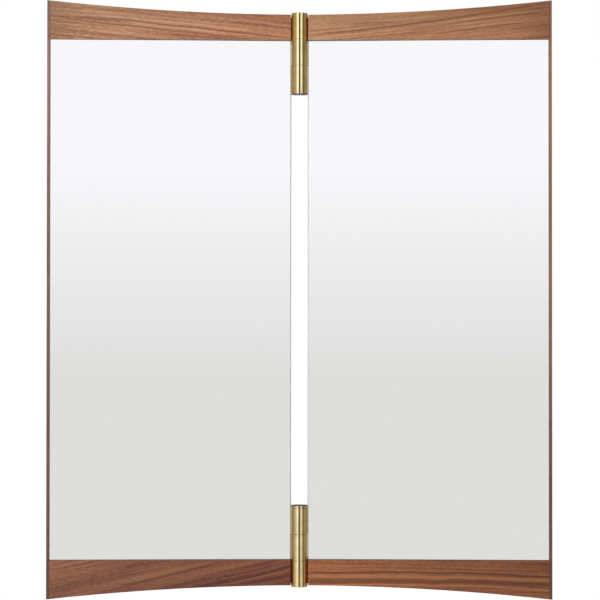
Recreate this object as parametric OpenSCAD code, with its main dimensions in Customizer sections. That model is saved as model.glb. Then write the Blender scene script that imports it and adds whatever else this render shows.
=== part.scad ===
// Shutter mirror: two framed mirror wings on a common pair of three-knuckle barrel
// hinges. The wall brackets carry the outermost knuckle of each hinge, so both
// wings swing forward by themselves.
//
// Frame: the wall is the plane Y = 0 and the mirrors face -Y. Z = 0 is half way
// up, X = 0 is the hinge axis. A wing is drawn flat, reaching along +X from the
// hinge axis at X = Y = 0, with its back towards +Y, and is then folded and placed.

/* [Wings] */
// Height of a wing at its outer edge
wing_h = 700; // [640:1:760]
// Hinge axis to the outer edge of a wing
wing_w = 295.5; // [240:0.5:340]
// Height of the rails at the outer edge
rail_h = 45.75; // [40:0.25:52]
// Radius of the hollow arc cut along the top and the bottom rails
arc_r = 2770; // [2500:10:4000]
// How far each wing stands folded forward at rest, in degrees
fold = 3; // [0:0.5:20]

/* [Frame] */
// Thickness of the rails at the hinge
rail_t = 20; // [19:0.5:24]
// Thickness of the rails and the stile at the outer edge
rail_t_outer = 15; // [14.5:0.5:19]
// How far the rails' front face at the hinge stands before the hinge axis
front_stand = 5; // [3:0.5:9]
// Gap between the hinge barrel and the front part of a rail's inner end
rail_gap = 0.9; // [0.6:0.1:3]
// Gap between the hinge barrel and the rest of that end, which steps in behind it
rail_gap_back = 0.4; // [0.3:0.1:1.2]
// Depth of the step in a rail's inner end, from its front face
end_step = 8.5; // [6:0.5:10]
// Width of the outer stile seen from the front
stile_w = 3.6; // [2:0.1:8]
// Thickness of the backing board
board_t = 9; // [6:0.5:9.5]
// Thickness of the veneer band on the board's inner edge
band_t = 1.2; // [0.5:0.1:1.4]
// Diameter of the dowels between the board and the rails
dowel_d = 5; // [3:0.5:6]
// Length of the dowels
dowel_l = 30; // [16:1:40]
// Dowels along one rail
dowels_n = 3; // [2:1:5]
// Distance from a rail's ends to its outermost dowels
dowel_margin = 45; // [30:1:80]

/* [Glass] */
// Thickness of the mirror glass
glass_t = 4; // [3:0.5:4]
// Fitting gap round the glass
glass_gap = 0.3; // [0.1:0.1:1]
// Thickness of the adhesive strips behind the glass
tape_t = 1; // [0.5:0.1:1.5]
// Width of one adhesive strip
tape_w = 30; // [10:1:40]
// Distance from the glass's sides to the middle of the outermost strips
tape_margin = 35; // [25:1:60]

/* [Hinges] */
// Diameter of the hinge barrel
barrel_d = 19; // [17:0.1:19.2]
// Height of one wing knuckle
knuckle_h = 30.5; // [24:0.1:34]
// How far outside the rail's edge at the opening the bracket knuckle ends
joint_out = 1.54312; // [0.5:0.1:3]
// Space between two knuckles, which the washer fills
knuckle_gap = 0.4; // [0.3:0.1:1]
// How far the barrel stands above the rail at the hinge
barrel_proud = 2.1; // [0.5:0.1:3.5]
// Thickness of the end cap
cap_h = 3; // [2.5:0.1:6]
// Diameter of the hinge pin
pin_d = 8; // [6:0.5:9]
// Radial running clearance of a turning knuckle on the pin
run_gap = 0.05; // [0.02:0.01:0.1]
// Radial clearance between a leaf and the other wing's knuckle
relief_gap = 0.35; // [0.3:0.05:0.4]
// Gap between the barrel and the face of a leaf
leaf_gap = 0.1; // [0.1:0.05:0.5]
// Thickness of a leaf along the board's inner edge
leaf_t = 1; // [0.8:0.1:1.3]
// Thickness of a leaf's flange on the back of the board
flange_t = 1.6; // [1.2:0.1:3]
// Width of that flange
flange_w = 22; // [16:1:40]
// Diameter of the leaf screws
leaf_screw_d = 3.5; // [2.5:0.1:4]
// Screws in one leaf
leaf_screws_n = 3; // [2:1:4]

/* [Wall mount] */
// Wall to the hinge axis
axis_wall = 24; // [20:0.5:40]
// Thickness of a wall plate
plate_t = 4; // [3.5:0.5:6]
// Height of a wall plate
plate_h = 32; // [30:0.5:34]
// Length of a wall plate
plate_w = 140; // [120:1:200]
// Spacing of the two wall screw holes in a plate
hole_spacing = 110; // [60:1:115]
// Diameter of the wall screw holes
hole_d = 5.5; // [4:0.1:7]
// Width of the bracket arm
arm_w = 10; // [8:0.5:14]
// Height of the bracket arm
arm_h = 22; // [16:0.5:24]
// Diameter of the bracket, cap and set screws
screw_d = 4; // [3:0.5:4]
// Diameter of a wall bumper at its base
bumper_d = 16; // [10:1:24]
// Gap left between a bumper and the wall when the wing is flat
bumper_gap = 0.3; // [0.3:0.1:2]

/* [Hidden] */
$fn = 64;
arc_fn = 720;
eps = 1;
RIGHT = 1;
LEFT = -1;
UP = 1;
DOWN = -1;

half_open = wing_h / 2 - rail_h;
opening_h = 2 * half_open;
arc_low = wing_h / 2 - (arc_r - sqrt(arc_r * arc_r - wing_w * wing_w));
back_y = rail_t - front_stand;
glass_back_y = back_y - board_t - tape_t;
stile_in = wing_w - stile_w;

barrel_r = barrel_d / 2;
pin_r = pin_d / 2;
rail_end = barrel_r + rail_gap;
rail_end_back = barrel_r + rail_gap_back;
leaf_in = barrel_r + leaf_gap;
board_end = leaf_in + leaf_t;
barrel_top = arc_low + barrel_proud;
first_low = half_open + joint_out;
first_h = barrel_top - first_low;
knuckle_step = knuckle_h + knuckle_gap;
cap_top = first_low - knuckle_gap - 2 * knuckle_step;
leaf_low = cap_top + knuckle_gap;
leaf_top_gap = 0.25;
leaf_high = min(first_low - knuckle_gap, half_open) - leaf_top_gap;
leaf_stand = 0.5;
leaf_front_y = glass_back_y - glass_t - leaf_stand;
web_w = 6;
washer_play = 0.1;
washer_t = knuckle_gap - washer_play;
washer_r = barrel_r - 0.9;
blind = 4;
rim_chamfer = 0.25;
cap_screw_l = 14;

recess_span = 1.15;
recess_arm = 0.28;
recess_depth = 0.35;
head_r = screw_d;
head_h = screw_d / 2;
leaf_head_r = 0.95 * leaf_screw_d;
leaf_head_h = 0.9 * flange_t;
board_left = 2;
leaf_screw_l = flange_t + board_t - board_left;
leaf_screw_x = leaf_in + flange_w / 2;
leaf_screw_margin = 9;

arm_z = barrel_top - first_h / 2;
plate_z = round(arc_low - plate_h / 2);
bracket_screw_dz = arm_h / 4;
bracket_screw_l = 14;
set_screw_az = 45;
set_screw_sunk = 0.5;
bumper_x = wing_w - 22;
bumper_z = half_open - 55;
bumper_taper = 0.7;
bumper_rim = 1;
bumper_l = axis_wall - back_y - bumper_gap;

walnut = "#8f6a52";
brass = "#b4975c";
steel = "#8c8c8c";

// Front face of the rails and the stile, which slopes back towards the outer edge
function front_y(x) =
    -front_stand + (rail_t - rail_t_outer) * (x - rail_end) / (wing_w - rail_end);

// Top of knuckle k of a hinge, counted from the outside: 1 on the bracket, 2 and 3 on the wings
function knuckle_top(k) = k == 1 ? barrel_top : first_low - knuckle_gap - (k - 2) * knuckle_step;

// The knuckle of each hinge that a wing carries: the hinges are the same part, one turned over
function wing_knuckle(side, end) = side * end > 0 ? 2 : 3;

// Heights of the screws in a leaf
function leaf_screw_z(i) =
    leaf_low + leaf_screw_margin
    + i * (leaf_high - leaf_low - 2 * leaf_screw_margin) / (leaf_screws_n - 1);

// ---- placing ----

module at_end(end) {
    mirror([0, 0, end < 0 ? 1 : 0]) children();
}

module at_axis() {
    translate([0, -axis_wall, 0]) children();
}

module on_wing(side) {
    at_axis() mirror([side < 0 ? 1 : 0, 0, 0]) rotate([0, 0, -fold]) children();
}

module both_ends() {
    for (end = [UP, DOWN]) at_end(end) children();
}

// ---- shared forms ----

// Everything beyond the hollow arc of the top edge
module arc_cut() {
    translate([0, 0, arc_low + arc_r]) rotate([90, 0, 0])
        cylinder(r = arc_r, h = 4 * rail_t, center = true, $fn = arc_fn);
}

module countersunk_screw(r, l, cone_r, cone_h) {
    cylinder(r = r, h = l);
    cylinder(r1 = cone_r, r2 = r, h = cone_h);
}

// A countersunk screw with the cross recess in its head
module crossed_screw(r, l, cone_r, cone_h) {
    arm_l = recess_span * cone_r;
    arm_t = recess_arm * cone_r;
    difference() {
        countersunk_screw(r, l, cone_r, cone_h);
        for (turn = [0, 90]) rotate(turn)
            translate([-arm_l / 2, -arm_t / 2, -eps])
                cube([arm_l, arm_t, recess_depth * cone_r + eps]);
    }
}

// A turned barrel section with chamfered rims, standing on z = 0
module barrel_section(h) {
    rotate_extrude() polygon([
        [0, 0], [barrel_r - rim_chamfer, 0], [barrel_r, rim_chamfer],
        [barrel_r, h - rim_chamfer], [barrel_r - rim_chamfer, h], [0, h]
    ]);
}

// n places spread evenly from a to b, along X
module spread(n, a, b) {
    for (i = [0:n - 1]) translate([a + i * (b - a) / (n - 1), 0, 0]) children();
}

module dowel_places() {
    translate([0, back_y - board_t / 2, half_open])
        spread(dowels_n, rail_end + dowel_margin, stile_in - dowel_margin) children();
}

module leaf_screw_places() {
    for (i = [0:leaf_screws_n - 1])
        translate([leaf_screw_x, back_y + flange_t, leaf_screw_z(i)])
            rotate([90, 0, 0]) children();
}

module leaf_screw() {
    countersunk_screw(leaf_screw_d / 2, leaf_screw_l, leaf_head_r, leaf_head_h);
}

// ---- wing pieces, on the flat right wing ----

module rail() {
    color(walnut) difference() {
        translate([0, 0, half_open]) linear_extrude(wing_h / 2 - half_open + eps)
            polygon([
                [rail_end, front_y(rail_end)], [stile_in, front_y(stile_in)],
                [stile_in, back_y], [rail_end_back, back_y],
                [rail_end_back, end_step - front_stand], [rail_end, end_step - front_stand]
            ]);
        arc_cut();
        dowel_places() cylinder(d = dowel_d, h = dowel_l, center = true);
    }
}

module outer_stile() {
    color(walnut) difference() {
        translate([0, 0, -wing_h / 2 - eps]) linear_extrude(wing_h + 2 * eps)
            polygon([
                [stile_in, front_y(stile_in)], [wing_w, front_y(wing_w)],
                [wing_w, back_y], [stile_in, back_y]
            ]);
        both_ends() arc_cut();
    }
}

module backing_board() {
    color("#b89a78") difference() {
        translate([board_end, back_y - board_t, -half_open])
            cube([stile_in - board_end, board_t, opening_h]);
        both_ends() {
            dowel_places() cylinder(d = dowel_d, h = dowel_l, center = true);
            leaf_screw_places() leaf_screw();
        }
    }
}

module mirror_glass() {
    color("#dfe6ea")
        translate([board_end, glass_back_y - glass_t, -half_open + glass_gap])
            cube([stile_in - glass_gap - board_end, glass_t, opening_h - 2 * glass_gap]);
}

module adhesive_strips() {
    color("#e8e4da") translate([-tape_w / 2, glass_back_y, tape_w - half_open])
        spread(3, board_end + tape_margin, stile_in - tape_margin)
            cube([tape_w, tape_t, opening_h - 2 * tape_w]);
}

module edge_band() {
    color("#d8d3c8")
        translate([board_end - band_t, back_y - board_t, -leaf_low + glass_gap])
            cube([band_t, board_t, 2 * (leaf_low - glass_gap)]);
}

module rail_dowels() {
    color("#d2b48c") both_ends() dowel_places()
        cylinder(d = dowel_d, h = dowel_l, center = true);
}

// The bent leaf: a narrow flange on the board's edge and a wide one on its back.
// It is relieved opposite the knuckle of the other wing.
module leaf(own) {
    color(brass) difference() {
        union() {
            translate([leaf_in, leaf_front_y, leaf_low])
                cube([leaf_t, back_y + flange_t - leaf_front_y, leaf_high - leaf_low]);
            translate([leaf_in, back_y, leaf_low])
                cube([flange_w, flange_t, leaf_high - leaf_low]);
        }
        translate([0, 0, knuckle_top(5 - own) - knuckle_step])
            cylinder(r = barrel_r + relief_gap, h = knuckle_h + 2 * knuckle_gap);
        leaf_screw_places() leaf_screw();
    }
}

// The turned knuckle with the web that joins it to its leaf
module wing_barrel(own) {
    web_top = min(knuckle_top(own), leaf_high);
    color(brass) difference() {
        union() {
            translate([0, 0, knuckle_top(own) - knuckle_h]) barrel_section(knuckle_h);
            translate([0, leaf_front_y, knuckle_top(own) - knuckle_h])
                cube([leaf_in, web_w, web_top - knuckle_top(own) + knuckle_h]);
        }
        translate([0, 0, knuckle_top(own) - knuckle_h - eps])
            cylinder(r = pin_r + run_gap, h = knuckle_h + 2 * eps);
    }
}

module leaf_screws() {
    color(steel) both_ends() leaf_screw_places()
        crossed_screw(leaf_screw_d / 2, leaf_screw_l, leaf_head_r, leaf_head_h);
}

// A bumper narrows towards the wall and has a chamfered rim there
module wall_bumpers() {
    rim_r = bumper_taper * bumper_d / 2;
    color("#3a3a3a") both_ends()
        translate([bumper_x, back_y, bumper_z]) rotate([-90, 0, 0]) rotate_extrude()
            polygon([
                [0, 0], [bumper_d / 2, 0], [rim_r, bumper_l - bumper_rim],
                [rim_r - bumper_rim, bumper_l], [0, bumper_l]
            ]);
}

// ---- hinge and wall pieces ----

module wall_plate() {
    color("#4a4640") difference() {
        translate([0, 0, plate_z]) rotate([90, 0, 0]) linear_extrude(plate_t) union() {
            square([plate_w - plate_h, plate_h], center = true);
            for (side = [LEFT, RIGHT])
                translate([side * (plate_w - plate_h) / 2, 0]) circle(d = plate_h);
        }
        for (side = [LEFT, RIGHT])
            translate([side * hole_spacing / 2, eps, plate_z]) rotate([90, 0, 0])
                cylinder(d = hole_d, h = plate_t + 2 * eps);
        bracket_screw_places() bracket_screw();
    }
}

module bracket_screw_places() {
    for (dz = [-bracket_screw_dz, bracket_screw_dz])
        translate([0, 0, arm_z + dz]) rotate([90, 0, 0]) children();
}

module bracket_screw() {
    countersunk_screw(screw_d / 2, bracket_screw_l, head_r, head_h);
}

// The arm from the wall plate to the first knuckle of the hinge
module bracket_knuckle() {
    color(brass) difference() {
        union() {
            at_axis() translate([0, 0, first_low]) barrel_section(first_h);
            translate([-arm_w / 2, -axis_wall, arm_z - arm_h / 2])
                cube([arm_w, axis_wall - plate_t, arm_h]);
        }
        at_axis() translate([0, 0, first_low - eps])
            cylinder(r = pin_r, h = first_h + eps - blind);
        bracket_screw_places() bracket_screw();
        set_screw_place() cylinder(d = screw_d, h = barrel_r);
    }
}

module set_screw_place() {
    at_axis() translate([0, 0, arm_z]) rotate([0, 90, set_screw_az])
        translate([0, 0, pin_r]) children();
}

module pin_set_screw() {
    set_screw_place() cylinder(d = screw_d, h = barrel_r - pin_r - set_screw_sunk);
}

module hinge_pin() {
    color(steel) at_axis() difference() {
        translate([0, 0, cap_top]) cylinder(r = pin_r, h = barrel_top - blind - cap_top);
        translate([0, 0, cap_top - eps]) cylinder(d = screw_d, h = cap_screw_l - cap_h + eps);
    }
}

module cap_screw_place() {
    at_axis() translate([0, 0, cap_top - cap_h]) children();
}

module end_cap() {
    color(brass) difference() {
        cap_screw_place() barrel_section(cap_h);
        cap_screw_place() countersunk_screw(screw_d / 2, cap_screw_l, head_r, head_h);
    }
}

module washer_set() {
    for (k = [1:3])
        at_axis() translate([0, 0, knuckle_top(k + 1) + (knuckle_gap - washer_t) / 2])
            difference() {
                cylinder(r = washer_r, h = washer_t);
                translate([0, 0, -eps]) cylinder(r = pin_r + run_gap, h = washer_t + 2 * eps);
            }
}

// ---- the nodes ----

module upper_wall_plate() { at_end(UP) wall_plate(); }
module lower_wall_plate() { at_end(DOWN) wall_plate(); }
module upper_bracket_knuckle() { at_end(UP) bracket_knuckle(); }
module lower_bracket_knuckle() { at_end(DOWN) bracket_knuckle(); }
module bracket_screws() {
    color(steel) both_ends() bracket_screw_places()
        crossed_screw(screw_d / 2, bracket_screw_l, head_r, head_h);
}

module upper_hinge_pin() { at_end(UP) hinge_pin(); }
module lower_hinge_pin() { at_end(DOWN) hinge_pin(); }
module hinge_washers() { color("#d8c48a") both_ends() washer_set(); }
module upper_end_cap() { at_end(UP) end_cap(); }
module lower_end_cap() { at_end(DOWN) end_cap(); }
module cap_screws() {
    color(steel) both_ends() cap_screw_place()
        crossed_screw(screw_d / 2, cap_screw_l, head_r, head_h);
}

module pin_set_screws() { color(steel) both_ends() pin_set_screw(); }

module left_backing_board() { on_wing(LEFT) backing_board(); }
module left_mirror_glass() { on_wing(LEFT) mirror_glass(); }
module left_adhesive_strips() { on_wing(LEFT) adhesive_strips(); }
module left_top_rail() { on_wing(LEFT) at_end(UP) rail(); }
module left_bottom_rail() { on_wing(LEFT) at_end(DOWN) rail(); }
module left_outer_stile() { on_wing(LEFT) outer_stile(); }
module left_edge_band() { on_wing(LEFT) edge_band(); }
module left_rail_dowels() { on_wing(LEFT) rail_dowels(); }
module left_upper_leaf() { on_wing(LEFT) at_end(UP) leaf(wing_knuckle(LEFT, UP)); }
module left_lower_leaf() { on_wing(LEFT) at_end(DOWN) leaf(wing_knuckle(LEFT, DOWN)); }
module left_upper_knuckle() { on_wing(LEFT) at_end(UP) wing_barrel(wing_knuckle(LEFT, UP)); }
module left_lower_knuckle() { on_wing(LEFT) at_end(DOWN) wing_barrel(wing_knuckle(LEFT, DOWN)); }
module left_leaf_screws() { on_wing(LEFT) leaf_screws(); }
module left_wall_bumpers() { on_wing(LEFT) wall_bumpers(); }

module right_backing_board() { on_wing(RIGHT) backing_board(); }
module right_mirror_glass() { on_wing(RIGHT) mirror_glass(); }
module right_adhesive_strips() { on_wing(RIGHT) adhesive_strips(); }
module right_top_rail() { on_wing(RIGHT) at_end(UP) rail(); }
module right_bottom_rail() { on_wing(RIGHT) at_end(DOWN) rail(); }
module right_outer_stile() { on_wing(RIGHT) outer_stile(); }
module right_edge_band() { on_wing(RIGHT) edge_band(); }
module right_rail_dowels() { on_wing(RIGHT) rail_dowels(); }
module right_upper_leaf() { on_wing(RIGHT) at_end(UP) leaf(wing_knuckle(RIGHT, UP)); }
module right_lower_leaf() { on_wing(RIGHT) at_end(DOWN) leaf(wing_knuckle(RIGHT, DOWN)); }
module right_upper_knuckle() { on_wing(RIGHT) at_end(UP) wing_barrel(wing_knuckle(RIGHT, UP)); }
module right_lower_knuckle() { on_wing(RIGHT) at_end(DOWN) wing_barrel(wing_knuckle(RIGHT, DOWN)); }
module right_leaf_screws() { on_wing(RIGHT) leaf_screws(); }
module right_wall_bumpers() { on_wing(RIGHT) wall_bumpers(); }

upper_wall_plate();
lower_wall_plate();
upper_bracket_knuckle();
lower_bracket_knuckle();
bracket_screws();
upper_hinge_pin();
lower_hinge_pin();
hinge_washers();
upper_end_cap();
lower_end_cap();
cap_screws();
pin_set_screws();
left_backing_board();
left_mirror_glass();
left_adhesive_strips();
left_top_rail();
left_bottom_rail();
left_outer_stile();
left_edge_band();
left_rail_dowels();
left_upper_leaf();
left_lower_leaf();
left_upper_knuckle();
left_lower_knuckle();
left_leaf_screws();
left_wall_bumpers();
right_backing_board();
right_mirror_glass();
right_adhesive_strips();
right_top_rail();
right_bottom_rail();
right_outer_stile();
right_edge_band();
right_rail_dowels();
right_upper_leaf();
right_lower_leaf();
right_upper_knuckle();
right_lower_knuckle();
right_leaf_screws();
right_wall_bumpers();
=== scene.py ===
"""The look of the shutter mirror: two walnut framed mirror wings on brass barrel hinges.

Lengths are metres. X runs along the wings, Y from the room into the wall (the wall face is y = 0)
and Z up, with the middle of the mirror at z = 0.
"""
import math

import bpy
import numpy as np
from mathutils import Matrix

MM = 0.001

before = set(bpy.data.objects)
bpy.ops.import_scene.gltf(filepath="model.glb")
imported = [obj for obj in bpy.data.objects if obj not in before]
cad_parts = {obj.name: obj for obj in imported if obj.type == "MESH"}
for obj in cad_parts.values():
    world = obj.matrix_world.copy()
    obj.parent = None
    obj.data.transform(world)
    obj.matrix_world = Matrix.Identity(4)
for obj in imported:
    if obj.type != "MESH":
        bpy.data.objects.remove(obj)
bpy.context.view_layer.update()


# ---------------------------------------------------------------- colours

def linear(red, green, blue):
    """A colour written in the usual 0 to 255 steps, as the linear values the nodes take."""
    def one(step):
        share = step / 255
        return share / 12.92 if share <= 0.04045 else ((share + 0.055) / 1.055) ** 2.4
    return (one(red), one(green), one(blue), 1.0)


def toned(colour, share):
    """A colour with its red, green and blue taken to a share, and none of them past 1."""
    return tuple(min(1.0, share * part) for part in colour[:3]) + (1.0,)


# ---------------------------------------------------------------- node helpers

def new_finish(name):
    """A material with one principled shader. Returns the material, its node tree and the shader."""
    material = bpy.data.materials.new(name)
    material.use_nodes = True
    tree = material.node_tree
    return material, tree, tree.nodes["Principled BSDF"]


def object_point(tree):
    """The point on the piece in the shared frame."""
    return tree.nodes.new("ShaderNodeTexCoord").outputs["Object"]


def placed(tree, point, move=(0, 0, 0), turn=(0, 0, 0), scale=(1, 1, 1)):
    """The point moved, turned and stretched, as a pattern is laid on a board."""
    node = tree.nodes.new("ShaderNodeMapping")
    node.inputs["Location"].default_value = move
    node.inputs["Rotation"].default_value = turn
    node.inputs["Scale"].default_value = scale
    tree.links.new(point, node.inputs["Vector"])
    return node.outputs["Vector"]


def noise(tree, point, cells, detail=2.0, roughness=0.5, distortion=0.0):
    """A noise node with the given number of cells in a metre along X, Y and Z."""
    node = tree.nodes.new("ShaderNodeTexNoise")
    node.inputs["Scale"].default_value = 1.0
    node.inputs["Detail"].default_value = detail
    node.inputs["Roughness"].default_value = roughness
    node.inputs["Distortion"].default_value = distortion
    tree.links.new(placed(tree, point, scale=cells), node.inputs["Vector"])
    return node


def mottle(tree, point, cells, **settings):
    """Soft noise as one value, about 0.5 in the middle."""
    return noise(tree, point, cells, **settings).outputs["Fac"]


def sums(tree, operation, *values):
    """One step of arithmetic on numbers or node outputs."""
    node = tree.nodes.new("ShaderNodeMath")
    node.operation = operation
    for socket, value in zip(node.inputs, values):
        if isinstance(value, (int, float)):
            socket.default_value = value
        else:
            tree.links.new(value, socket)
    return node.outputs["Value"]


def product(tree, first, *others):
    """Numbers or node outputs multiplied together."""
    for other in others:
        first = sums(tree, "MULTIPLY", first, other)
    return first


def unsigned(tree, value):
    """A value without its sign."""
    return sums(tree, "ABSOLUTE", value)


def off_middle(tree, value, middle):
    """How far a value is from a middle, either way."""
    return unsigned(tree, sums(tree, "SUBTRACT", value, middle))


def vector_step(tree, operation, *values):
    """One step of arithmetic on points or colours, each a node output or three numbers."""
    node = tree.nodes.new("ShaderNodeVectorMath")
    node.operation = operation
    for socket, value in zip(node.inputs, values):
        if isinstance(value, tuple):
            socket.default_value = value
        else:
            tree.links.new(value, socket)
    return node


def between(tree, value, low, high, low_out=0.0, high_out=1.0, smooth=True):
    """The value taken from low..high to low_out..high_out, and held outside them."""
    node = tree.nodes.new("ShaderNodeMapRange")
    node.interpolation_type = "SMOOTHSTEP" if smooth else "LINEAR"
    node.clamp = True
    ends = {"From Min": low, "From Max": high, "To Min": low_out, "To Max": high_out}
    for name, number in ends.items():
        node.inputs[name].default_value = number
    tree.links.new(value, node.inputs["Value"])
    return node.outputs["Result"]


def tones(tree, value, *stops):
    """Colours laid along a value; each stop is (place, colour)."""
    node = tree.nodes.new("ShaderNodeValToRGB")
    ramp = node.color_ramp
    while len(ramp.elements) < len(stops):
        ramp.elements.new(0.5)
    for element, (place, colour) in zip(ramp.elements, stops):
        element.position = place
        element.color = colour
    tree.links.new(value, node.inputs["Fac"])
    return node.outputs["Color"]


def mixed(tree, share, first, second):
    """Two colours mixed by a share."""
    node = tree.nodes.new("ShaderNodeMix")
    node.data_type = "RGBA"
    node.clamp_factor = True
    share_socket, first_socket, second_socket = node.inputs[0], node.inputs[6], node.inputs[7]
    for socket, value in ((share_socket, share), (first_socket, first), (second_socket, second)):
        if isinstance(value, (int, float, tuple)):
            socket.default_value = value
        else:
            tree.links.new(value, socket)
    return node.outputs[2]


def relief(tree, shader, height, depth, strength):
    """Raises and sinks the surface by a height pattern, depth metres deep."""
    node = tree.nodes.new("ShaderNodeBump")
    node.inputs["Distance"].default_value = depth
    node.inputs["Strength"].default_value = strength
    tree.links.new(height, node.inputs["Height"])
    tree.links.new(node.outputs["Normal"], shader.inputs["Normal"])


def parts_of(tree, vector):
    """The X, Y and Z parts of a vector."""
    split = tree.nodes.new("ShaderNodeSeparateXYZ")
    tree.links.new(vector, split.inputs["Vector"])
    return split.outputs["X"], split.outputs["Y"], split.outputs["Z"]


def facing(tree):
    """The X, Y and Z parts of the direction that the surface faces, on the piece."""
    return parts_of(tree, tree.nodes.new("ShaderNodeTexCoord").outputs["Normal"])


def face_turn(tree, axis):
    """How far the surface faces along one axis of the piece, either way, 0 to 1."""
    return unsigned(tree, facing(tree)["XYZ".index(axis)])


# ---------------------------------------------------------------- walnut

GRAIN_CELLS = {                   # cells in a metre along, through and across the grain
    "sway": (3.2, 6, 9),
    "broad": (1.6, 9, 42),
    "streak": (7, 60, 380),
    "fleck": (190, 500, 950),
    "rings": (0.8, 5, 80),
    "gaps": (12, 40, 60),         # where the fine growth lines break off
    "pores": (110, 900, 2600),
}
WAVER_CELLS = (22, 8, 8)          # of the wavering of a main growth line
WAVER = 3.2 * MM
SWAY = 6 * MM                     # how far the slow wave moves the grain sideways
BROAD_SHARE, STREAK_SHARE, FLECK_SHARE = 0.30, 0.38, 0.32
DARK_AT, MIDDLE_AT, LIGHT_AT = 0.38, 0.5, 0.62    # where the three tones of a board are pure
RING_HALF = 0.025                 # half the width of a fine growth line, as a share of the noise
GAP_LEVELS = (0.34, 0.52)
PORE_LEVELS = (0.60, 0.68)
PORE_SHARE = 0.35
LINE_FADE = 15 * MM               # a main growth line fades in and out over twice this
LINE_CORE, LINE_FOOT = 0.4, 1.3   # shares of its half width where it is full and where it is gone
STILE_TIP_SHADE = (298 * MM, 308 * MM)     # heights over which a stile takes the painted shade of its ends beside the rails
RAIL_HEIGHTS = (308 * MM, 342 * MM)   # from the opening to the hollow edge
STILE_SHADE_SPAN = (245 * MM, 292 * MM)      # along X, a rail's last stretch before its stile, painted darker as shade there
ARRIS_SHADE_SHARE, ARRIS_SHADE_TONE = 0.6, 0.4    # how much an eased edge is painted darker as shade, and how dark that painted shade is
# how far the end grain is painted towards the light tone: painted light on the rails' ends in the narrow
# gaps beside the barrels
END_GRAIN_LIGHT = 0.8
# Painted shade: the dark grey of the rail edge by the glass, for the dark line of shade between rail and
# glass and its reflection.
EDGE_SHADE_GREY = linear(134, 139, 135)
EDGE_SHADE_FADE = (130 * MM, 270 * MM)     # along X, where the painted shade on the edge by the glass fades away
EDGE_SHADE_LEFT = 0.15                     # and the share of it that is left there
WOOD_ROUGHNESS = (0.56, 0.44)         # of its dark and its light streaks
WOOD_RELIEF = 0.06 * MM


def growth_line(tree, point, waver, height, slope, bend, half_width, start, end):
    """One growth line across a rail: 1 on the curve height + slope * X + bend * X * X and 0 at its
    sides, fading out before X = start and after X = end."""
    across, _, up = parts_of(tree, point)
    incline = sums(tree, "MULTIPLY_ADD", across, bend, slope)
    curve = sums(tree, "MULTIPLY_ADD", incline, across, height)
    off = unsigned(tree, sums(tree, "ADD", sums(tree, "SUBTRACT", up, curve), waver))
    return product(tree,
                   between(tree, off, LINE_CORE * half_width, LINE_FOOT * half_width, 1.0, 0.0),
                   between(tree, across, start - LINE_FADE, start + LINE_FADE),
                   between(tree, across, end - LINE_FADE, end + LINE_FADE, 1.0, 0.0))


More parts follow.
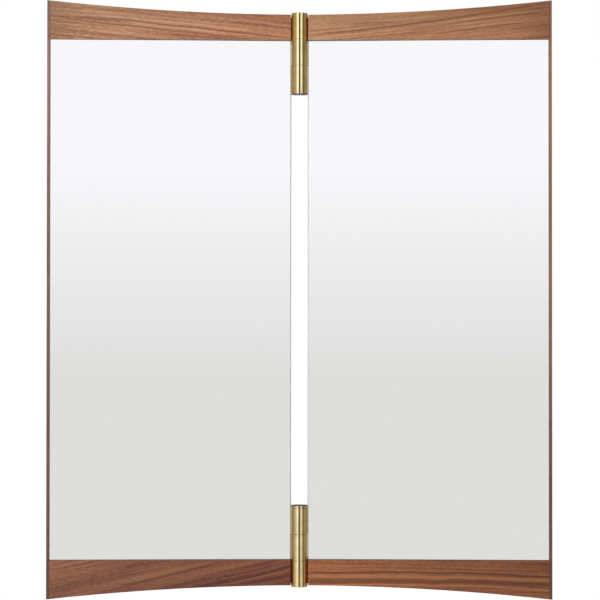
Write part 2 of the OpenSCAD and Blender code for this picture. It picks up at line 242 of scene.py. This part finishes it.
def walnut(name, seed, dark, middle, light, lean=0.0, line_share=0.6, light_and_tone_drift=(0.0, 0.0, 0.0),
           along=0, opening=0, tip_shade=1.0, stile_shade=1.0, across=(1.0, 1.0), painted_ends=1.0, figure=()):
    """Oiled walnut cut along the grain. along is the axis the grain runs on (0 for X, 2 for Z) and
    lean its slope in radians. Broad tones, growth lines, fine streaks and short pores are noise
    stretched along the grain; a slow wave moves them all sideways together. light_and_tone_drift is
    how much the board lightens in a metre, in red, green and blue: painted light, the stiles lighter
    towards the top as the light falls, and the rails darker towards the right as the light from the
    left falls off, in part the wood's own tone. figure holds the board's main growth lines, each with
    its share of darkening, or of lightening where that is negative. opening is 1 or -1 where the edge
    facing up or down borders the glass: that edge is painted dark grey as shade, strongest towards
    the hinge, for the dark line of shade between rail and glass and its reflection, and the eased
    edges, painted darker as shade elsewhere, are left unpainted along it. tip_shade is how light a
    stile's ends beside the rails are against its middle, painted shade there, and stile_shade how
    light a rail's outer end is against the rest of it, painted shade beside the stile. across is how
    light a rail is beside the opening and at its hollow edge, and painted_ends how light the end grain
    is painted against the board's light tone: painted light on the rails' ends in the narrow gaps
    beside the barrels."""
    def cells(pattern):
        lengthways, through, sideways = GRAIN_CELLS[pattern]
        if along == 0:
            return (lengthways, through, sideways)
        return (sideways, through, lengthways)

    material, tree, shader = new_finish(name)
    point = object_point(tree)
    board = placed(tree, point, move=(seed, seed * 0.37, seed * 0.61), turn=(0, lean, 0))
    sway = noise(tree, board, cells("sway"), detail=1.0).outputs["Color"]
    sideways = (0, 0, SWAY) if along == 0 else (SWAY, 0, 0)
    grain = vector_step(tree, "MULTIPLY_ADD", sway, sideways, board).outputs["Vector"]

    broad = mottle(tree, grain, cells("broad"))
    streak = mottle(tree, grain, cells("streak"), detail=3, roughness=0.6)
    fleck = mottle(tree, grain, cells("fleck"), roughness=0.75)
    tone = sums(tree, "ADD", product(tree, broad, BROAD_SHARE), product(tree, streak, STREAK_SHARE))
    tone = sums(tree, "ADD", tone, product(tree, fleck, FLECK_SHARE))
    colour = tones(tree, tone, (DARK_AT, dark), (MIDDLE_AT, middle), (LIGHT_AT, light))

    rings = mottle(tree, grain, cells("rings"), detail=1)
    ring_line = between(tree, off_middle(tree, rings, 0.5), 0.0, RING_HALF, 1.0, 0.0)
    unbroken = between(tree, mottle(tree, grain, cells("gaps")), *GAP_LEVELS)
    colour = mixed(tree, product(tree, ring_line, unbroken, line_share), colour, dark)

    waver = sums(tree, "SUBTRACT", mottle(tree, point, WAVER_CELLS), 0.5)
    waver = product(tree, waver, WAVER)
    for *curve, share in figure:
        drawn = growth_line(tree, point, waver, *curve)
        colour = mixed(tree, product(tree, drawn, abs(share)), colour, dark if share > 0 else light)

    place = parts_of(tree, point)
    off_x, _, off_z = [unsigned(tree, part) for part in place]
    # Painted light: the board lighter or darker along its length as the light falls, on the rails in
    # part the wood's own tone.
    light_and_tone_drifted = vector_step(tree, "MULTIPLY_ADD", place[along], light_and_tone_drift, (1, 1, 1)).outputs["Vector"]
    # Painted shade at a stile's ends beside the rails and at a rail's end beside its stile, with the
    # tone across a rail.
    shade = product(tree,
                    between(tree, off_z, *STILE_TIP_SHADE, 1.0, tip_shade),
                    between(tree, off_x, *STILE_SHADE_SPAN, 1.0, stile_shade),
                    between(tree, off_z, *RAIL_HEIGHTS, *across, smooth=False))
    shaded = vector_step(tree, "SCALE", light_and_tone_drifted)
    tree.links.new(shade, shaded.inputs["Scale"])
    colour = vector_step(tree, "MULTIPLY", colour, shaded.outputs["Vector"]).outputs["Vector"]

    pore = between(tree, mottle(tree, grain, cells("pores"), detail=1), *PORE_LEVELS)
    colour = mixed(tree, product(tree, pore, PORE_SHARE), colour, dark)

    facing_x, facing_y, facing_z = facing(tree)
    front = unsigned(tree, facing_y)
    # Eased edges painted darker as shade, except along the opening.
    arris = product(tree, between(tree, front, 0.2, 0.45),
                    between(tree, front, 0.85, 0.97, ARRIS_SHADE_SHARE, 0.0))
    if opening:
        to_opening = product(tree, facing_z, opening)
        arris = product(tree, arris, between(tree, to_opening, 0.2, 0.5, 1.0, 0.0))
    colour = mixed(tree, arris, colour, toned(dark, ARRIS_SHADE_TONE))
    # End grain painted lighter: painted light on the rails' ends in the narrow gaps beside the barrels.
    to_end = unsigned(tree, facing_x if along == 0 else facing_z)
    end_grain = between(tree, to_end, 0.7, 0.95, 0.0, END_GRAIN_LIGHT)
    colour = mixed(tree, end_grain, colour, toned(light, painted_ends))
    # The edge by the glass painted dark grey as shade, fading out towards the stile.
    if opening:
        edge_shade = product(tree, between(tree, to_opening, 0.8, 0.95),
                          between(tree, off_x, *EDGE_SHADE_FADE, 1.0, EDGE_SHADE_LEFT))
        colour = mixed(tree, edge_shade, colour, EDGE_SHADE_GREY)
    tree.links.new(colour, shader.inputs["Base Color"])
    rough = between(tree, tone, 0.4, 0.6, *WOOD_ROUGHNESS)
    tree.links.new(rough, shader.inputs["Roughness"])
    shader.inputs["Specular IOR Level"].default_value = 0.25
    height = sums(tree, "SUBTRACT", product(tree, streak, 0.5), pore)
    relief(tree, shader, height, WOOD_RELIEF, 0.6)
    return material


# ---------------------------------------------------------------- the other finishes

SILVER = (0.985, 0.988, 0.99, 1.0)
CUT_GLASS = linear(150, 162, 155)
BARREL_BRASS = (0.80, 0.545, 0.19, 1.0)
BRACKET_BRASS = (0.80, 0.54, 0.165, 1.0)
WASHER_BRASS = (0.78, 0.56, 0.25, 1.0)
# the end faces and rim of the brass, duller and painted dark as shade
SAWN_AND_SHADED_BRASS = (0.20, 0.155, 0.095, 1.0)
LACQUER = 0.45
BROWNED = linear(74, 50, 36)
ZINC = (0.62, 0.63, 0.64, 1.0)
PLIES = 105                       # waves of pale and dark plies in a metre of thickness
BIRCH_FACE = ((0.36, linear(190, 158, 118)), (0.5, linear(214, 186, 146)), (0.63, linear(228, 205, 170)))
BIRCH_EDGE = ((0.25, linear(120, 84, 56)), (0.45, linear(196, 160, 118)), (0.9, linear(218, 190, 150)))
BAND_PAINT = ((0.35, linear(228, 224, 215)), (0.65, linear(240, 236, 228)))
BEECH_TONES = ((0.35, linear(176, 128, 92)), (0.6, linear(206, 164, 124)))


def silvered_glass(name):
    """Clear glass silvered on its back: a plain mirror on the faces, and the green grey of cut and
    polished glass on the edges."""
    material, tree, shader = new_finish(name)
    edge = between(tree, face_turn(tree, "Y"), 0.80, 0.97, 1.0, 0.0)
    tree.links.new(mixed(tree, edge, SILVER, CUT_GLASS), shader.inputs["Base Color"])
    silvered = sums(tree, "SUBTRACT", 1.0, product(tree, edge, 0.85))
    tree.links.new(silvered, shader.inputs["Metallic"])
    tree.links.new(product(tree, edge, 0.2), shader.inputs["Roughness"])
    return material


def turned_brass(name, colour=BARREL_BRASS, gloss=0.055, free_end=None):
    """Turned, polished and lacquered brass: fine rings round the barrel and faint cloudy tone. The
    faces across the barrel were left unpolished from the saw, so they are duller; their darker colour
    is painted shade. The rim within a millimetre of free_end, the height above and below the middle
    where it ends, is made as dull and painted as dark, as shade standing in for a chamfer."""
    material, tree, shader = new_finish(name)
    point = object_point(tree)
    cloud = mottle(tree, point, (60, 60, 90), detail=3)
    rings = mottle(tree, point, (8, 8, 9000), detail=3, roughness=0.7)
    painted_ends = between(tree, face_turn(tree, "Z"), 0.8, 0.95)
    # The rim by the free end, painted dark as shade standing in for a chamfer.
    if free_end:
        height = unsigned(tree, parts_of(tree, point)[2])
        rim = between(tree, height, free_end + 0.8 * MM, free_end + 1.2 * MM, 1.0, 0.0)
        painted_ends = sums(tree, "MAXIMUM", painted_ends, rim)
    polished = tones(tree, cloud, (0.35, toned(colour, 0.86)), (0.62, colour))
    tree.links.new(mixed(tree, painted_ends, polished, SAWN_AND_SHADED_BRASS), shader.inputs["Base Color"])
    shader.inputs["Metallic"].default_value = 1.0
    coat = product(tree, sums(tree, "SUBTRACT", 1.0, painted_ends), LACQUER)
    tree.links.new(coat, shader.inputs["Coat Weight"])
    shader.inputs["Coat Roughness"].default_value = 0.04
    rough = between(tree, cloud, 0.3, 0.7, gloss * 1.25, gloss * 0.85)
    tree.links.new(sums(tree, "MULTIPLY_ADD", painted_ends, 0.4, rough), shader.inputs["Roughness"])
    relief(tree, shader, rings, 0.006 * MM, 0.35)
    return material


def plated_steel(name, colour, gloss):
    """Plated or browned steel with a fine even tooth."""
    material, tree, shader = new_finish(name)
    point = object_point(tree)
    cloud = mottle(tree, point, (45, 45, 45), detail=3)
    tooth = mottle(tree, point, (700, 700, 700), detail=3, roughness=0.65)
    plating = tones(tree, cloud, (0.3, toned(colour, 0.7)), (0.65, colour))
    tree.links.new(plating, shader.inputs["Base Color"])
    shader.inputs["Metallic"].default_value = 1.0
    rough = between(tree, tooth, 0.3, 0.7, gloss * 0.8, gloss * 1.25)
    tree.links.new(rough, shader.inputs["Roughness"])
    relief(tree, shader, tooth, 0.01 * MM, 0.5)
    return material


def birch_ply(name):
    """Birch plywood: pale face veneer with long soft figure, and dark glue lines on the cut edges."""
    material, tree, shader = new_finish(name)
    point = object_point(tree)
    veneer = mottle(tree, point, (9, 30, 2.2), detail=4, roughness=0.55, distortion=0.8)
    fibre = mottle(tree, point, (1500, 600, 60))
    tone = sums(tree, "ADD", product(tree, veneer, 0.7), product(tree, fibre, 0.3))
    face = tones(tree, tone, *BIRCH_FACE)
    plies = tree.nodes.new("ShaderNodeTexWave")
    plies.wave_type = "BANDS"
    plies.bands_direction = "Y"
    plies.inputs["Scale"].default_value = 1.0
    tree.links.new(placed(tree, point, scale=(1, PLIES, 1)), plies.inputs["Vector"])
    glue_lines = tones(tree, plies.outputs["Fac"], *BIRCH_EDGE)
    cut = between(tree, face_turn(tree, "Y"), 0.5, 0.9, 1.0, 0.0)
    tree.links.new(mixed(tree, cut, face, glue_lines), shader.inputs["Base Color"])
    shader.inputs["Roughness"].default_value = 0.62
    relief(tree, shader, fibre, 0.04 * MM, 0.5)
    return material


def painted_band(name):
    """Pale warm grey paint with a faint brushed unevenness."""
    material, tree, shader = new_finish(name)
    brushed = mottle(tree, object_point(tree), (700, 700, 25), detail=3)
    tree.links.new(tones(tree, brushed, *BAND_PAINT), shader.inputs["Base Color"])
    shader.inputs["Roughness"].default_value = 0.5
    relief(tree, shader, brushed, 0.02 * MM, 0.4)
    return material


def plain_beech(name):
    """Beech dowel with short pink flecks along its length."""
    material, tree, shader = new_finish(name)
    fleck = mottle(tree, object_point(tree), (1800, 1800, 180))
    tree.links.new(tones(tree, fleck, *BEECH_TONES), shader.inputs["Base Color"])
    shader.inputs["Roughness"].default_value = 0.6
    return material


def soft_black(name, colour, roughness, pits, depth):
    """Rubber or foam: a dark matt surface with small pits, so many of them in a metre. The pits
    are painted darker as shade.
    """
    material, tree, shader = new_finish(name)
    pit = mottle(tree, object_point(tree), (pits, pits, pits), detail=3, roughness=0.6)
    # The pits painted darker as shade where the relief sinks them.
    surface = tones(tree, pit, (0.35, toned(colour, 0.6)), (0.6, colour))
    tree.links.new(surface, shader.inputs["Base Color"])
    shader.inputs["Roughness"].default_value = roughness
    relief(tree, shader, pit, depth, 0.7)
    return material


# ---------------------------------------------------------------- stage, light and camera

FLOOR_RADIUS = 6.0
FLOOR_HEIGHT = -1.5               # a room's floor, as far below the middle of the mirror
FLOOR_FADE = 2.8                  # the floor starts to fade this far from the middle of the mirror
FLOOR_PAINT = (0.74, 0.74, 0.735, 1.0)
FLOOR_GLOW = 0.32                 # what the view and the glossy pieces see added to the floor

PANE_WHITE_ABOVE = math.sin(math.radians(3.8))
PANE_GREY_BELOW = math.sin(math.radians(-0.6))
PANE_WHITE = linear(248, 248, 250)
PANE_GREY = linear(223, 223, 221)
FAR_FROM = (20, 50)                   # degrees aside over which a pane shows the far side
FAR_SIDE = (60, (0.25, 0.25, 0.245, 1.0))     # degrees aside and its colour there
FAR_BACK = (84, (0.5, 0.5, 0.49, 1.0))
GLOSS_ROOM = [                    # bearing in degrees from straight in front, and how bright
    (-180, 0.25), (-150, 0.32), (-128, 0.27), (-104, 0.60), (-70, 0.53), (-54, 0.56),
    (-40, 0.50), (-9, 0.18), (14, 0.20), (46, 0.20), (60, 0.20), (72, 0.22), (90, 0.56),
    (106, 0.36), (122, 0.26), (150, 0.28), (180, 0.25),
]
GLOSS_CEILING = (0.2, 0.197, 0.19, 1.0)
GLOSS_FLOOR = (0.62, 0.62, 0.615, 1.0)
CEILING_RISE = (0.2, 0.75)        # the rise is the sine of the height angle
FLOOR_RISE = (-0.2, -0.45)
GLOSS_LAMPS = [                   # middle and width in degrees, share low down and high up, colour
    (-52, 22, 1.0, 0.0, (0.79, 0.89, 1.3, 1.0)),
    (-26.5, 27, 0.65, 1.0, (1.6, 2.1, 3.8, 1.0)),
    (27.5, 29, 0.65, 1.0, (1.2, 1.5, 2.4, 1.0)),
    (45, 14, 1.0, 0.0, (0.60, 0.62, 0.75, 1.0)),
]
GLOSS_EDGE = 4                    # degrees from a lamp's edge over which it fades
LAMP_FOOT = (-0.5, -0.2)          # rises over which a lamp comes in, changes its share and goes out
LAMP_WAIST = (-0.09, 0.09)
LAMP_HEAD = (0.45, 0.7)
EVEN_LIGHT = [(0.0, 0.26), (0.5, 0.38), (1.0, 0.60)]   # from straight below to straight above

LAMPS = [                         # name, place, width, height, and how bright its face looks
    ("left_lamp", (-1.13, -2.36, 0.15), 1.4, 1.7, 4.1),
    ("right_lamp", (1.38, -2.23, 0.15), 1.3, 1.7, 1.6),
    ("top_lamp", (0.0, -1.3, 2.1), 2.2, 1.0, 1.0),
    ("back_lamp", (0.0, 2.6, 0.5), 2.2, 1.8, 1.7),
]

PHOTO_WIDTH = 600                 # pixels
PHOTO_FOCAL = 2723                # pixels
PHOTO_PLACE = (0.75 * MM, -3.218, -56 * MM)
PHOTO_TILT = 0.995                # degrees up
PHOTO_ROLL = -0.037               # degrees


def pale_floor():
    """A round pale floor that fades away towards its rim: the points share * radius * (cos turn,
    sin turn) at one height, with share from 0 to 1 and turn once round."""
    rings, steps = 24, 96
    share = np.linspace(0, 1, rings)[:, None]
    turn = np.linspace(0, 2 * np.pi, steps, endpoint=False)[None, :]
    reach = FLOOR_RADIUS * share
    points = np.stack([reach * np.cos(turn), reach * np.sin(turn),
                       np.full((rings, steps), FLOOR_HEIGHT)], axis=-1)
    row, column = np.meshgrid(np.arange(rings - 1), np.arange(steps), indexing="ij")
    after = (column + 1) % steps
    faces = np.stack([row * steps + column, (row + 1) * steps + column,
                      (row + 1) * steps + after, row * steps + after], axis=-1)
    mesh = bpy.data.meshes.new("pale_floor")
    mesh.from_pydata(points.reshape(-1, 3).tolist(), [], faces.reshape(-1, 4).tolist())

    material, tree, shader = new_finish("pale_floor_paint")
    shader.inputs["Base Color"].default_value = FLOOR_PAINT
    shader.inputs["Roughness"].default_value = 0.9
    path = tree.nodes.new("ShaderNodeLightPath")
    seen = sums(tree, "MAXIMUM", path.outputs["Is Camera Ray"], path.outputs["Is Glossy Ray"])
    seen = sums(tree, "MAXIMUM", seen, path.outputs["Is Transmission Ray"])
    shader.inputs["Emission Color"].default_value = (1.0, 1.0, 0.995, 1.0)
    tree.links.new(product(tree, seen, FLOOR_GLOW), shader.inputs["Emission Strength"])
    distance = vector_step(tree, "LENGTH", object_point(tree)).outputs["Value"]
    left_over = between(tree, distance, FLOOR_FADE, FLOOR_RADIUS, 1.0, 0.0)
    tree.links.new(left_over, shader.inputs["Alpha"])
    mesh.materials.append(material)
    floor = bpy.data.objects.new("pale_floor", mesh)
    bpy.context.scene.collection.objects.link(floor)


def pane_view(tree, rise, aside, bounces):
    """What the panes show: white above and pale grey lower down, and a darker side of the room
    where one pane shows the other."""
    pane = tones(tree, between(tree, rise, PANE_GREY_BELOW, PANE_WHITE_ABOVE, smooth=False),
                 (0.0, PANE_GREY), (1.0, PANE_WHITE))
    far = tones(tree, between(tree, aside, 0, 180, smooth=False),
                *[(angle / 180, colour) for angle, colour in (FAR_SIDE, FAR_BACK)])
    twice = sums(tree, "GREATER_THAN", bounces, 1.5)
    return mixed(tree, product(tree, twice, between(tree, aside, *FAR_FROM)), pane, far)


def gloss_view(tree, rise, bearing):
    """What brass and other gloss shows: a white room with darker gaps, a dark ceiling and a pale
    floor, and the lamps."""
    gloss = tones(tree, between(tree, bearing, -180, 180, smooth=False),
                  *[((angle + 180) / 360, (glow, 0.985 * glow, 0.96 * glow, 1.0))
                    for angle, glow in GLOSS_ROOM])
    gloss = mixed(tree, between(tree, rise, *CEILING_RISE), gloss, GLOSS_CEILING)
    gloss = mixed(tree, between(tree, rise, *FLOOR_RISE), gloss, GLOSS_FLOOR)
    for middle, width, low_share, high_share, colour in GLOSS_LAMPS:
        off = off_middle(tree, bearing, middle)
        lit = product(tree,
                      between(tree, off, width / 2 - GLOSS_EDGE, width / 2 + GLOSS_EDGE, 1.0, 0.0),
                      between(tree, rise, *LAMP_HEAD, 1.0, 0.0),
                      between(tree, rise, *LAMP_WAIST, low_share, high_share),
                      between(tree, rise, *LAMP_FOOT))
        gloss = mixed(tree, lit, gloss, colour)
    return gloss


def room_light():
    """The room: plain white behind the mirror, its own view for the panes and for gloss, and soft
    even light on everything, a little stronger from above."""
    world = bpy.data.worlds.new("plain_room")
    bpy.context.scene.world = world
    world.use_nodes = True
    tree = world.node_tree
    back = tree.nodes["Background"]
    back.inputs["Strength"].default_value = 1.0
    path = tree.nodes.new("ShaderNodeLightPath")
    direction = tree.nodes.new("ShaderNodeTexCoord").outputs["Generated"]
    right, back_way, rise = parts_of(tree, direction)
    bearing = sums(tree, "ARCTAN2", right, product(tree, back_way, -1.0))
    bearing = between(tree, bearing, -math.pi, math.pi, -180, 180, smooth=False)

    pane = pane_view(tree, rise, unsigned(tree, bearing), path.outputs["Glossy Depth"])
    gloss = gloss_view(tree, rise, bearing)
    seen = mixed(tree, path.outputs["Is Singular Ray"], gloss, pane)
    even = tones(tree, between(tree, rise, -1.0, 1.0, smooth=False),
                 *[(place, (glow, glow, glow, 1.0)) for place, glow in EVEN_LIGHT])
    shown = mixed(tree, path.outputs["Is Glossy Ray"], even, seen)
    clear = sums(tree, "MAXIMUM", path.outputs["Is Camera Ray"], path.outputs["Is Transmission Ray"])
    tree.links.new(mixed(tree, clear, shown, (1.0, 1.0, 1.0, 1.0)), back.inputs["Color"])


def soft_lamp(name, place, width, height, glow):
    """A flat lamp turned to the middle of the mirror. glow is how bright its face looks, where 1
    is white."""
    light = bpy.data.lights.new(name, "AREA")
    light.shape = "RECTANGLE"
    light.size, light.size_y = width, height
    light.energy = glow * math.pi * width * height
    lamp = bpy.data.objects.new(name, light)
    lamp.visible_glossy = False
    lamp.visible_camera = False
    bpy.context.scene.collection.objects.link(lamp)
    x, y, z = place
    lamp.location = place
    lamp.rotation_euler = (math.acos(z / math.hypot(x, y, z)), 0, math.atan2(-y, -x) - math.pi / 2)


def photo_camera():
    """The photograph's view: 3.2 m in front of the hinge line, a little below the middle and tilted
    up by one degree, with a long lens."""
    data = bpy.data.cameras.new("photo_view")
    data.sensor_width = 36.0
    data.lens = PHOTO_FOCAL * data.sensor_width / PHOTO_WIDTH
    data.clip_end = 100
    camera = bpy.data.objects.new("photo_view", data)
    bpy.context.scene.collection.objects.link(camera)
    camera.location = PHOTO_PLACE
    camera.rotation_euler = (math.radians(90 + PHOTO_TILT), math.radians(PHOTO_ROLL), 0)
    bpy.context.scene.camera = camera


# ---------------------------------------------------------------- dressing the frame

RAIL_ARRIS = 0.4 * MM             # how far the edges of the rails, stiles and panes are eased
STILE_ARRIS = 0.3 * MM
GLASS_ARRIS = 0.12 * MM
EASED_OVER = math.radians(35)     # edges sharper than this are eased
WELD_GAP = 0.002 * MM


def figure(*lines):
    """Growth lines given in millimetres: height over the middle at X = 0, slope, bend in the
    metre, half width, where it starts and ends along X, and the share of darkening."""
    return [(height * MM, slope, bend, half_width * MM, start * MM, end * MM, share)
            for height, slope, bend, half_width, start, end, share in lines]


# The bottom rails' tones are darker than the top rails' partly as painted shade, the light falling off
# downwards, and partly the wood's own tone.
RAIL_LOOKS = {
    "left_top_rail": dict(
        lean=math.radians(-5.5), seed=1.7, line_share=0.35, light_and_tone_drift=(-0.49, -1.40, -1.95),
        opening=-1, stile_shade=0.74, across=(1.09, 0.80), painted_ends=2.2,
        dark=linear(132, 81, 57), middle=linear(180, 123, 88), light=linear(201, 146, 109),
        figure=figure((304.3, -0.1308, -0.107, 1.1, -262, -20, 0.85),
                      (299.7, -0.1003, 0.016, 1.1, -275, -70, 0.8),
                      (302.6, -0.115, -0.04, 1.7, -200, -90, -0.6),
                      (308.5, -0.125, -0.10, 1.6, -235, -60, -0.55))),
    "right_top_rail": dict(
        lean=math.radians(5.5), seed=5.3, line_share=0.4, light_and_tone_drift=(-0.83, -1.30, -1.55),
        opening=-1, stile_shade=0.78, across=(1.08, 0.83),
        dark=linear(132, 87, 62), middle=linear(178, 130, 95), light=linear(198, 154, 113),
        figure=figure((320.0, 0.0551, 0.0, 1.0, 60, 108, 0.7),
                      (310.2, 0.0777, 0.168, 1.1, 22, 275, 0.8),
                      (310.4, 0.0493, 0.150, 1.0, 125, 280, 0.75),
                      (282.5, 0.2205, -0.247, 1.0, 160, 262, 0.75),
                      (306.5, 0.075, 0.160, 1.5, 30, 200, -0.5))),
    "left_bottom_rail": dict(
        lean=math.radians(12), seed=9.1, line_share=0.35, light_and_tone_drift=(-1.55, -2.88, -3.02),
        opening=1, across=(1.05, 0.95), painted_ends=2.6,
        dark=linear(77, 42, 31), middle=linear(112, 64, 46), light=linear(134, 83, 58),
        figure=figure((-308.6, 0.3175, 0.597, 1.3, -95, 0, 0.9),
                      (-314.0, 0.2208, 0.025, 1.0, -85, -8, -0.8),
                      (-320.5, 0.2019, 0.425, 2.2, -62, 0, 0.7),
                      (-296.8, -0.0354, -0.568, 1.2, -205, -150, 0.6),
                      (-294.3, 0.1301, -0.332, 1.6, -211, -97, 0.6),
                      (-290.5, 0.13, -0.33, 2.0, -200, -105, -0.5))),
    "right_bottom_rail": dict(
        lean=math.radians(-0.8), seed=12.4, line_share=0.45, light_and_tone_drift=(-1.3, -1.3, -1.3),
        opening=1, across=(0.91, 1.10),
        dark=linear(102, 58, 39), middle=linear(154, 95, 61), light=linear(181, 117, 73),
        figure=figure((-320.3, 0.0287, -0.134, 1.1, 8, 300, 0.9),
                      (-329.9, 0.0158, -0.085, 2.9, 8, 300, 0.75),
                      (-324.0, 0.0167, -0.097, 2.0, 8, 300, -0.75),
                      (-333.7, 0.0169, -0.109, 0.9, 30, 300, -0.8))),
}
STILE_LOOKS = {
    "left": dict(seed=3.1, dark=linear(92, 66, 57), middle=linear(124, 93, 82),
                 light=linear(140, 109, 96)),
    "right": dict(seed=7.7, dark=linear(92, 62, 48), middle=linear(126, 88, 70),
                  light=linear(144, 104, 84)),
}


def dress(node, material, arris=None):
    """Gives a CAD node its finish and, where arris is set, eases its edges by that much."""
    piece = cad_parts[node]
    for slot in piece.material_slots:
        slot.material = material
    if arris:
        weld = piece.modifiers.new("weld", "WELD")
        weld.merge_threshold = WELD_GAP
        ease = piece.modifiers.new("ease", "BEVEL")
        ease.width = arris
        ease.segments = 2
        ease.limit_method = "ANGLE"
        ease.angle_limit = EASED_OVER
        ease.harden_normals = True


def nearest_height(node):
    """How far above or below the middle of the mirror a piece begins."""
    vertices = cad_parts[node].data.vertices
    places = np.empty(3 * len(vertices), dtype=np.float32)
    vertices.foreach_get("co", places)
    return float(np.abs(places[2::3]).min())


for rail, look in RAIL_LOOKS.items():
    dress(rail, walnut("walnut_" + rail, **look), arris=RAIL_ARRIS)
for side, look in STILE_LOOKS.items():
    # The stiles painted lighter towards the top as the light falls, and darker at their ends beside the
    # rails as shade.
    wood = walnut("walnut_" + side + "_stile", line_share=0.5, light_and_tone_drift=(0.9, 0.9, 0.9), along=2,
                  tip_shade=0.75, **look)
    dress(side + "_outer_stile", wood, arris=STILE_ARRIS)

mirror = silvered_glass("silvered_glass")
band = painted_band("pale_band_paint")
brass = turned_brass("turned_brass")
bracket_brass = turned_brass("bracket_brass", colour=BRACKET_BRASS)
leaf_brass = turned_brass("leaf_brass", gloss=0.24)
cap_brass = turned_brass("cap_brass", free_end=nearest_height("upper_end_cap"))
washer = turned_brass("washer_brass", colour=WASHER_BRASS, gloss=0.2)
bronze = plated_steel("browned_plate", BROWNED, 0.45)
steel = plated_steel("zinc_steel", ZINC, 0.3)
ply = birch_ply("birch_ply")
beech = plain_beech("beech")
rubber = soft_black("black_rubber", linear(46, 45, 44), 0.7, 900, 0.03 * MM)
foam = soft_black("grey_foam", linear(96, 96, 98), 0.9, 1600, 0.08 * MM)

for side in ("left", "right"):
    dress(side + "_mirror_glass", mirror, arris=GLASS_ARRIS)
    dress(side + "_edge_band", band)
    dress(side + "_backing_board", ply)
    dress(side + "_rail_dowels", beech)
    dress(side + "_adhesive_strips", foam)
    dress(side + "_wall_bumpers", rubber)
    dress(side + "_leaf_screws", steel)
    for end in ("upper", "lower"):
        dress(side + "_" + end + "_leaf", leaf_brass)
        dress(side + "_" + end + "_knuckle", brass)
for end in ("upper", "lower"):
    dress(end + "_bracket_knuckle", bracket_brass)
    dress(end + "_end_cap", cap_brass)
    dress(end + "_hinge_pin", steel)
    dress(end + "_wall_plate", bronze)
dress("hinge_washers", washer)
for node in ("bracket_screws", "cap_screws", "pin_set_screws"):
    dress(node, steel)

bpy.context.scene.view_settings.view_transform = "Standard"
pale_floor()
room_light()
for lamp in LAMPS:
    soft_lamp(*lamp)
photo_camera()
